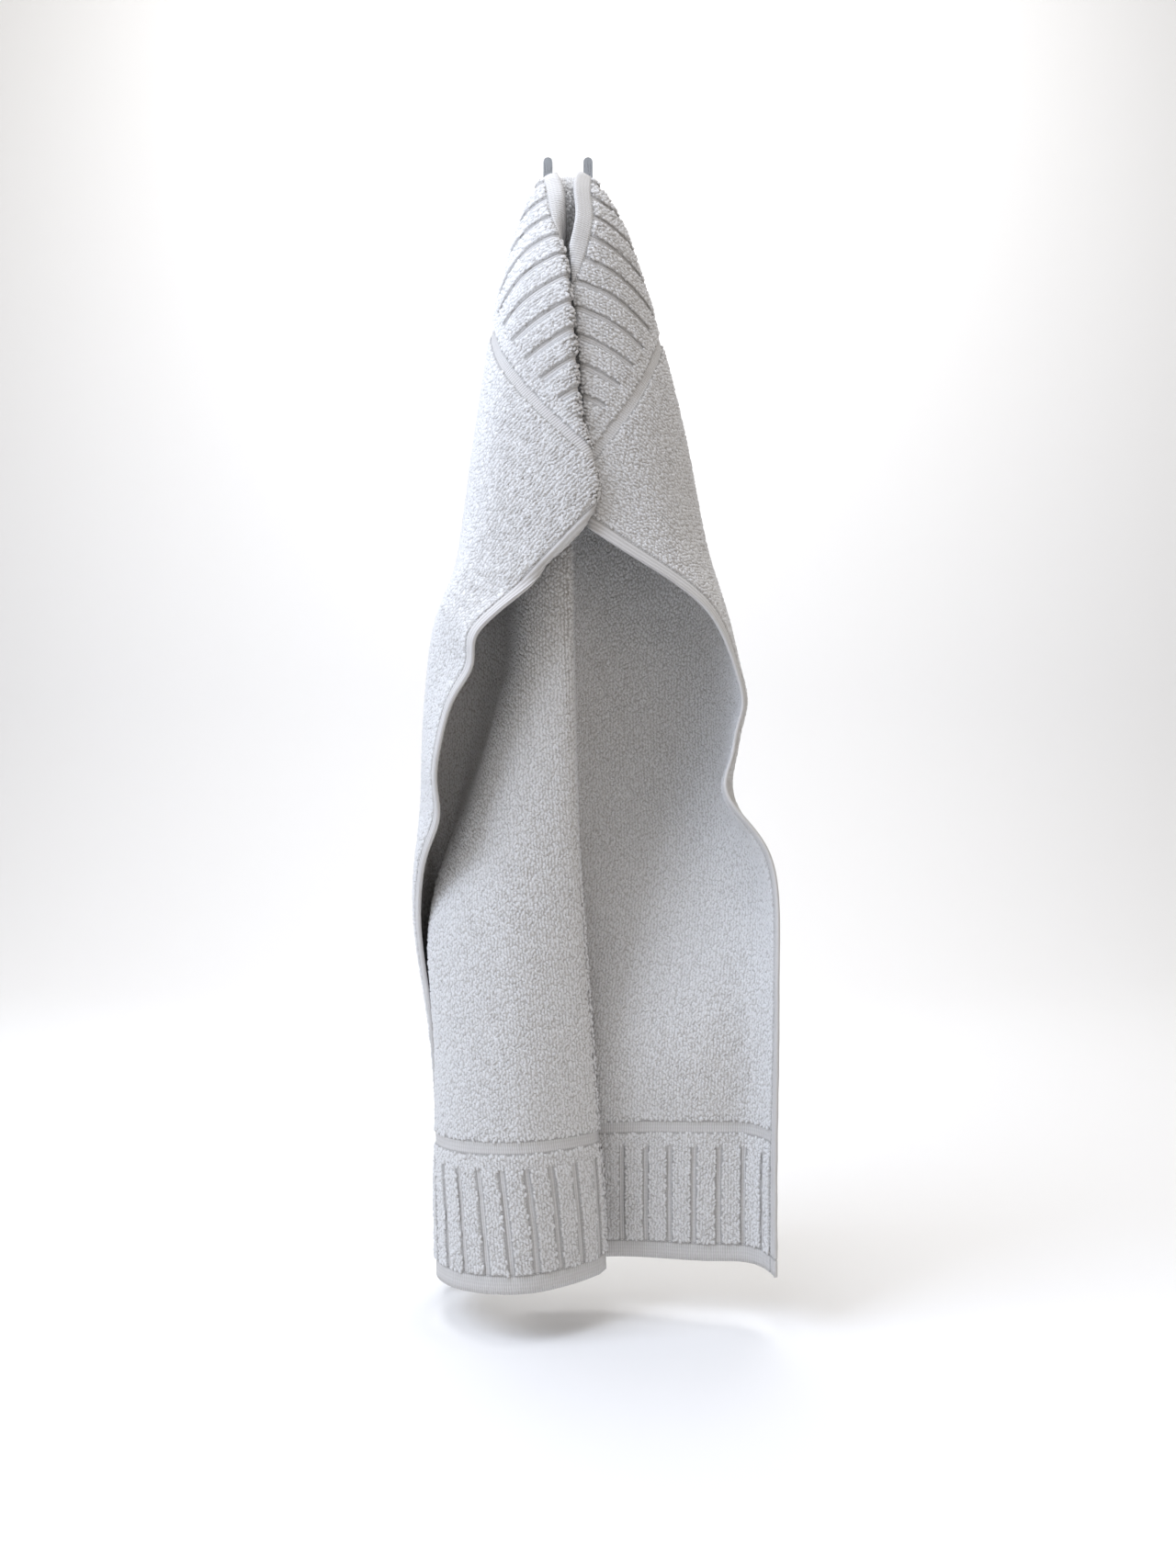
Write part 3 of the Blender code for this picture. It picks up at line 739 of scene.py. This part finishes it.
@dataclass(frozen=True)
class SweepPaper:
    """Uncoated white paper off a roll, matt and even, under and behind the towel."""

    base: str = "#F7F7F7"
    roughness: float = 0.9

    def material(self) -> Material:
        """The paper's material, a plain matt white."""
        return start_material("white_sweep_paper", Base_Color=srgb(self.base),
                              Roughness=self.roughness)[0]


def new_mesh(name: str, points: np.ndarray, faces: list, material: Material) -> Object:
    """Make a smooth mesh object in the scene and log it.

    Args:
        name: the object's name.
        points: its vertices.
        faces: corner numbers of each face.
        material: its finish.

    Returns:
        The new object.
    """
    mesh = bpy.data.meshes.new(name)
    mesh.from_pydata(points.tolist(), [], faces)
    mesh.update()
    mesh.polygons.foreach_set("use_smooth", [True] * len(mesh.polygons))
    mesh.materials.append(material)
    made = bpy.data.objects.new(name, mesh)
    bpy.context.scene.collection.objects.link(made)
    log.info("%s: %d faces", name, len(faces))
    return made


@dataclass
class TerryTowel:
    """The cloth with its two faces, its hems and the stitches that hold them."""

    cut: TowelCut
    hang: Hang
    rows_near: int = 78
    rows_far: int = 142
    near_length: float = 0.20
    groove_foot: float = 0.4 * MM  # columns inside and outside a groove's side
    rib_shoulder: float = 0.6 * MM
    side_columns: tuple[float, ...] = (0.0, 1.0, 3.4, 5.6, 6.6, 7.5, 8.6)  # in mm, in from the edge
    line_before: float = 0.5 * MM  # rows before and after each line between two weaves
    line_after: float = 1.0 * MM
    seam_side: float = 1.1 * MM
    seam_clear: float = 1.6 * MM
    half_pile: float = 1.2 * MM  # without the loops that stand on it
    half_rib: float = 1.9 * MM
    half_groove: float = 0.6 * MM
    half_band: float = 0.6 * MM
    half_hem: float = 1.2 * MM
    half_seam: float = 0.6 * MM  # in the valley that the hem's seam draws
    edge: float = 0.7 * MM  # half the width of the step from one weave to the next
    loop_across: float = 2.15 * MM  # loops stand 1.6 mm apart; built coarser and fewer
    loop_along: float = 2.9 * MM
    loop_length: float = 3.6 * MM
    loop_width: float = 2.15 * MM
    loop_height: float = 1.45 * MM
    loop_gap: float = 0.5 * MM  # from the outermost loops to a flat weave
    stray: tuple[float, float] = (0.34 * MM, 0.5 * MM)
    size_spread: float = 0.2
    turn_spread: float = 0.38
    lean_spread: tuple[float, float] = (0.35 * MM, 0.5 * MM)
    foot_sink: float = 0.25 * MM  # how deep a loop or a stitch starts in the cloth
    seed: int = 7
    parts_along: int = 3
    stitch_pitch: float = 3.2 * MM
    stitch_length: float = 2.4 * MM
    stitch_width: float = 0.7 * MM
    stitch_height: float = 0.35 * MM

    def columns(self) -> np.ndarray:
        """Distances across the towel: both edges, and close at the sides of each groove.

        Returns:
            The distances from the centre line, from left to right.
        """
        cut, pitch = self.cut, self.cut.pitch
        foot = cut.groove_width / 2 - self.groove_foot
        shoulder = cut.groove_width / 2 + self.rib_shoulder
        offsets = np.array([0.0, foot, shoulder, pitch / 2, pitch - shoulder, pitch - foot])
        starts = ((np.arange(cut.rib_count) - cut.rib_count / 2) * pitch)[:, None]
        inner = (starts + offsets[None]).ravel()
        edge = cut.width / 2
        inner = inner[np.abs(inner) < edge - cut.side_hem - 1.5 * MM]
        hem = edge - np.array(self.side_columns) * MM
        return np.concatenate([-hem, inner, hem[::-1]])

    def rows(self) -> np.ndarray:
        """Distances along the towel, closer together near the hook.

        Returns:
            The distances from the hung end.
        """
        cut = self.cut
        near = np.linspace(0, self.near_length, self.rows_near, endpoint=False)
        far = np.linspace(self.near_length, cut.length, self.rows_far)
        lines = [cut.end_hem, cut.ribs_end, cut.strip_end, cut.band_end]
        both = lines + [cut.length - x for x in lines]
        rows = np.concatenate([near, far])
        shifts = (-self.line_before, self.line_after)
        for row in [line + shift for line in both for shift in shifts]:
            rows[np.argmin(np.abs(rows - row))] = row
        for seam in (cut.end_hem, cut.length - cut.end_hem):
            rows = rows[np.abs(rows - seam) > self.seam_clear]
            rows = np.concatenate([rows, seam + np.array([-1, 0, 1]) * self.seam_side])
        return np.unique(rows)

    def half_thickness(self, across: np.ndarray, along: np.ndarray) -> np.ndarray:
        """Half the cloth's thickness, by its weave.

        Args:
            across: metres from the centre line.
            along: metres from the hung end.

        Returns:
            Half the thickness at each point, in metres.
        """
        cut = self.cut
        from_end, from_side = cut.from_edges(across, along)

        def step(value: np.ndarray, at: float, soft: float = self.edge) -> np.ndarray:
            """Smooth step from 0 to 1 round a value."""
            t = np.clip((value - at + soft) / (2 * soft), 0, 1)
            return t * t * (3 - 2 * t)

        ribbed = 1 - step(from_end, cut.ribs_end)
        groove = (1 - step(cut.groove_distance(across), cut.groove_width / 2)) * ribbed
        band = step(from_end, cut.strip_end) * (1 - step(from_end, cut.band_end))
        half = self.half_pile + (self.half_rib - self.half_pile) * ribbed
        half = half + (self.half_groove - half) * groove
        half = half + (self.half_band - half) * band
        inside = step(from_end, cut.end_hem) * step(from_side, cut.side_hem)
        half = self.half_hem + (half - self.half_hem) * inside
        from_seam = np.minimum(np.abs(from_end - cut.end_hem), np.abs(from_side - cut.side_hem))
        seam_reach, seam_soft = 0.6 * MM, 0.5 * MM
        return self.half_seam + (half - self.half_seam) * step(from_seam, seam_reach, seam_soft)

    def build_cloth(self, finish: LoopPileCotton) -> Object:
        """The whole cloth as one closed mesh.

        Args:
            finish: the terry's finish.

        Returns:
            The towel's object, with the flat cloth's coordinates in its UV map.
        """
        columns, rows = self.columns(), self.rows()
        across, along = np.meshgrid(columns, rows)
        middle = self.hang.place(across, along)
        normal = self.hang.facing(across, along, self.cut)
        half = self.half_thickness(across, along)[..., None]
        wide, tall = len(columns), len(rows)
        points = np.concatenate([(middle + side.value * half * normal).reshape(-1, 3)
                                 for side in Face])
        corner = np.arange(wide * tall).reshape(tall, wide)
        quads = np.stack([corner[:-1, :-1], corner[:-1, 1:], corner[1:, 1:], corner[1:, :-1]], -1)
        outer = quads.reshape(-1, 4)
        inner = outer[:, ::-1] + wide * tall
        border = np.concatenate([corner[0, :-1], corner[:-1, -1],
                                 corner[-1, :0:-1], corner[:0:-1, 0]])
        ahead = np.roll(border, -1)
        rim = np.stack([ahead, border, border + wide * tall, ahead + wide * tall], -1)
        faces = np.concatenate([outer, inner, rim])
        cloth = new_mesh("towel_cloth", points, faces.tolist(), finish.material())
        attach(cloth, ROOT)
        flat = np.stack([across.ravel(), along.ravel()], -1)
        flat = np.concatenate([flat, flat])
        layer = cloth.data.uv_layers.new(name=finish.map_name)
        layer.data.foreach_set("uv", flat[faces.ravel()].ravel())
        return cloth

    def raise_nubs(self, name: str, flat: np.ndarray, face: Face, size: np.ndarray,
                   turn: np.ndarray, lean: np.ndarray, material: Material,
                   finish: LoopPileCotton) -> None:
        """Make one piece of small rounded nubs that stand on a face of the cloth.

        Args:
            name: the piece's name.
            flat: the nubs' places in the flat cloth, across and along.
            face: the face they stand on.
            size: width, length and height of each.
            turn: angle of each in the cloth, from its length.
            lean: how far each top leans across and along.
            material: their material.
            finish: the terry's finish, which names the map and the tip's attribute.
        """
        across, along = flat[:, 0], flat[:, 1]
        out = face.value * self.hang.facing(across, along, self.cut)
        reach = 1.0 * MM
        down = (self.hang.place(across, np.minimum(along + reach, self.cut.length))
                - self.hang.place(across, np.maximum(along - reach, 0)))
        down -= out * np.sum(down * out, axis=-1, keepdims=True)
        down /= np.linalg.norm(down, axis=-1, keepdims=True)
        side = np.cross(down, out)
        cos, sin = np.cos(turn)[:, None], np.sin(turn)[:, None]
        side, down = side * cos + down * sin, down * cos - side * sin
        half = self.half_thickness(across, along)[:, None]
        foot = self.hang.place(across, along) + (half - self.foot_sink) * out
        width, length, height = (size[:, k:k + 1] for k in range(3))
        corners = np.array([(-0.5, -0.5, 0), (0.5, -0.5, 0), (0.5, 0.5, 0), (-0.5, 0.5, 0),
                            (0, -0.2, 1), (0, 0.2, 1)])  # four at the foot and two on the ridge
        points = np.stack([foot + side * (x * width + z * lean[:, :1])
                           + down * (y * length + z * lean[:, 1:]) + out * z * height
                           for x, y, z in corners], axis=1).reshape(-1, 3)
        count = len(flat)
        first = 6 * np.arange(count)[:, None]
        pattern = [(0, 1, 4), (1, 2, 5, 4), (2, 3, 5), (3, 0, 4, 5)]
        faces = [row for shape in pattern for row in (first + np.array(shape)).tolist()]
        piece = new_mesh(name, points, faces, material)
        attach(piece, ROOT)
        spread = np.repeat(flat, 6, axis=0) + np.tile(corners[:, :2], (count, 1)) * np.repeat(
            size[:, :2], 6, axis=0)
        layer = piece.data.uv_layers.new(name=finish.map_name)
        used = np.concatenate([(first + np.array(shape)).ravel() for shape in pattern])
        layer.data.foreach_set("uv", spread[used].ravel())
        tip = piece.data.attributes.new(finish.tip_name, "FLOAT", "POINT")
        tip.data.foreach_set("value", np.tile(corners[:, 2], count))

    def on_pile(self, across: np.ndarray, along: np.ndarray) -> np.ndarray:
        """Whether loops stand at points of the flat cloth.

        Args:
            across: metres from the centre line.
            along: metres from the hung end.

        Returns:
            True where the weave has pile.
        """
        cut, edge = self.cut, self.loop_gap
        from_end, from_side = cut.from_edges(across, along)
        near_groove = cut.groove_distance(across) < cut.groove_width / 2 + edge
        groove = (from_end < cut.ribs_end) & near_groove
        band = (from_end > cut.strip_end - edge) & (from_end < cut.band_end + edge)
        inside = (from_end > cut.end_hem + 2 * edge) & (from_side > cut.side_hem + 2 * edge)
        return inside & ~groove & ~band

    def build_pile(self, finish: LoopPileCotton) -> None:
        """The loops of both faces, in rows across the cloth.

        Args:
            finish: the terry's finish.
        """
        random = np.random.default_rng(self.seed)
        material = finish.loop_material()
        columns = np.arange(-self.cut.width / 2, self.cut.width / 2, self.loop_across)
        rows = np.arange(0, self.cut.length, self.loop_along)
        for face in Face:
            across, along = np.meshgrid(columns, rows)
            along = along + np.where(np.arange(len(columns)) % 2 == 0, 0, self.loop_along / 2)
            flat = np.stack([across.ravel(), along.ravel()], -1)
            flat = flat + random.normal(0, 1, flat.shape) * np.array(self.stray)
            flat = flat[self.on_pile(flat[:, 0], flat[:, 1])]
            count = len(flat)
            size = np.array([self.loop_width, self.loop_length, self.loop_height])
            size = size * random.uniform(1 - self.size_spread, 1 + self.size_spread, (count, 3))
            turn = random.normal(0, self.turn_spread, count)
            lean = random.normal(0, 1, (count, 2)) * np.array(self.lean_spread)
            part = np.minimum((flat[:, 1] / self.cut.length * self.parts_along).astype(int),
                              self.parts_along - 1)
            for number in range(self.parts_along):
                mine = part == number
                name = f"pile_{face.name.lower()}_{number + 1}"
                self.raise_nubs(name, flat[mine], face, size[mine], turn[mine], lean[mine],
                                material, finish)

    def build_stitches(self, thread: PolyesterThread, finish: LoopPileCotton) -> None:
        """The seams that hold the four hems, on both faces.

        Args:
            thread: the thread's finish.
            finish: the terry's finish, which names the map.
        """
        cut = self.cut
        edge = cut.width / 2 - cut.side_hem
        near = cut.end_hem
        ups = np.arange(near, cut.length - near, self.stitch_pitch)
        acrosses = np.arange(-edge, edge, self.stitch_pitch)
        seams = [(np.stack([np.full(len(ups), x), ups], -1), 0.0) for x in (-edge, edge)]
        seams += [(np.stack([acrosses, np.full(len(acrosses), y)], -1), math.pi / 2)
                  for y in (near, cut.length - near)]
        flat = np.concatenate([places for places, _ in seams])
        turn = np.concatenate([np.full(len(places), angle) for places, angle in seams])
        size = np.tile([self.stitch_width, self.stitch_length, self.stitch_height + self.foot_sink],
                       (len(flat), 1))
        material = thread.material()
        for face in Face:
            self.raise_nubs(f"stitches_{face.name.lower()}", flat, face, size, turn,
                            np.zeros((len(flat), 2)), material, finish)


@dataclass
class WallHook:
    """The hook's plate, arm and fork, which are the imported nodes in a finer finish."""

    nodes: tuple[str, ...] = ("wall_plate", "arm", "fork")

    def dress(self, finish: BrushedStainlessSteel) -> None:
        """Give every node of the hook its finish.

        Args:
            finish: the steel's finish.
        """
        steel = finish.material()
        for name in self.nodes:
            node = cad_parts[name]
            node.data.materials.clear()
            node.data.materials.append(steel)
            log.info("%s: %s", name, steel.name)


@dataclass
class Studio:
    """Pale sweep, soft lights and the camera."""

    floor_drop: float = 0.012
    sweep_radius: float = 0.6
    sweep_depth: float = 1.2
    sweep_reach: float = 4.0
    sweep_height: float = 5.0
    world_colour: str = "#FFF8F0"
    world_strength: float = 0.33
    camera_place: tuple[float, float, float] = (0.015, -0.926, -0.4275)
    focal_pixels: float = 1289.0
    image_height: float = 1707.0
    sensor: float = 36.0

    def build(self) -> None:
        """Make the floor, the lights, the world and the camera."""
        self.sweep(SweepPaper())
        self.light("key", (-0.95, -0.62, 0.45), size=0.8, watts=14.5, colour="#E0EBFF")
        self.light("fill", (0.9, -1.3, -0.35), size=1.2, watts=1.5, colour="#FFE6CC")
        self.light("top", (-0.2, -0.6, 0.85), size=0.6, watts=5.6, colour="#EFF4FF")
        self.light("backdrop", (0.0, 0.35, 1.7), size=1.6, watts=36.0, colour="#FFFFFF",
                   aim=(0.0, 1.8, -0.1))
        world = bpy.data.worlds.new("studio")
        world.use_nodes = True
        background = world.node_tree.nodes["Background"]
        background.inputs[0].default_value = srgb(self.world_colour)
        background.inputs[1].default_value = self.world_strength
        bpy.context.scene.world = world
        bpy.context.scene.view_settings.view_transform = "Standard"
        self.camera()

    def sweep(self, paper: SweepPaper) -> None:
        """The floor that curves up behind into a backdrop.

        Args:
            paper: its finish.
        """
        low = CAD_BOUNDS[0].z - self.floor_drop
        radius, depth, reach = self.sweep_radius, self.sweep_depth, self.sweep_reach
        profile = [(-reach, 0.0), (depth, 0.0)]
        profile += [(depth + radius * math.sin(a), radius * (1 - math.cos(a)))
                    for a in np.linspace(0, math.pi / 2, 17)[1:]]
        profile.append((depth + radius, self.sweep_height))
        points = [(x, y, low + z) for y, z in profile for x in (-reach, reach)]
        faces = [(2 * k, 2 * k + 1, 2 * k + 3, 2 * k + 2) for k in range(len(profile) - 1)]
        new_mesh("sweep", np.array(points), faces, paper.material())

    def light(self, name: str, place: tuple[float, float, float], size: float, watts: float,
              colour: str, aim: tuple[float, float, float] = (0.0, -0.06, -0.35)) -> None:
        """One soft square light.

        Args:
            name: the light's name.
            place: where it stands.
            size: its side.
            watts: its power.
            colour: its colour, as a hex code.
            aim: the point it looks at, which is the towel's middle unless given.
        """
        data = bpy.data.lights.new(name, "AREA")
        data.color = srgb(colour)[:3]
        data.size = size
        data.energy = watts
        lamp = bpy.data.objects.new(name, data)
        lamp.location = place
        lamp.rotation_euler = (Vector(aim) - lamp.location).to_track_quat("-Z", "Y").to_euler()
        bpy.context.scene.collection.objects.link(lamp)

    def camera(self) -> None:
        """The camera at the photograph's angle, level and square to the wall."""
        data = bpy.data.cameras.new("camera")
        data.sensor_width = self.sensor
        data.lens = self.focal_pixels / self.image_height * self.sensor
        camera = bpy.data.objects.new("camera", data)
        camera.location = self.camera_place
        camera.rotation_euler = (math.pi / 2, 0.0, 0.0)
        bpy.context.scene.collection.objects.link(camera)
        bpy.context.scene.camera = camera


def main() -> None:
    """Build the towel, dress the hook and set the studio."""
    logging.basicConfig(level=logging.INFO, format="%(message)s")
    cut = TowelCut()
    hang = Hang()
    towel = TerryTowel(cut, hang)
    terry = LoopPileCotton(cut)
    cloth = towel.build_cloth(terry)
    towel.build_pile(terry)
    towel.build_stitches(PolyesterThread(), terry)
    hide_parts("towel")
    WallHook().dress(BrushedStainlessSteel())
    Studio().build()


if __name__ == "__main__":
    main()
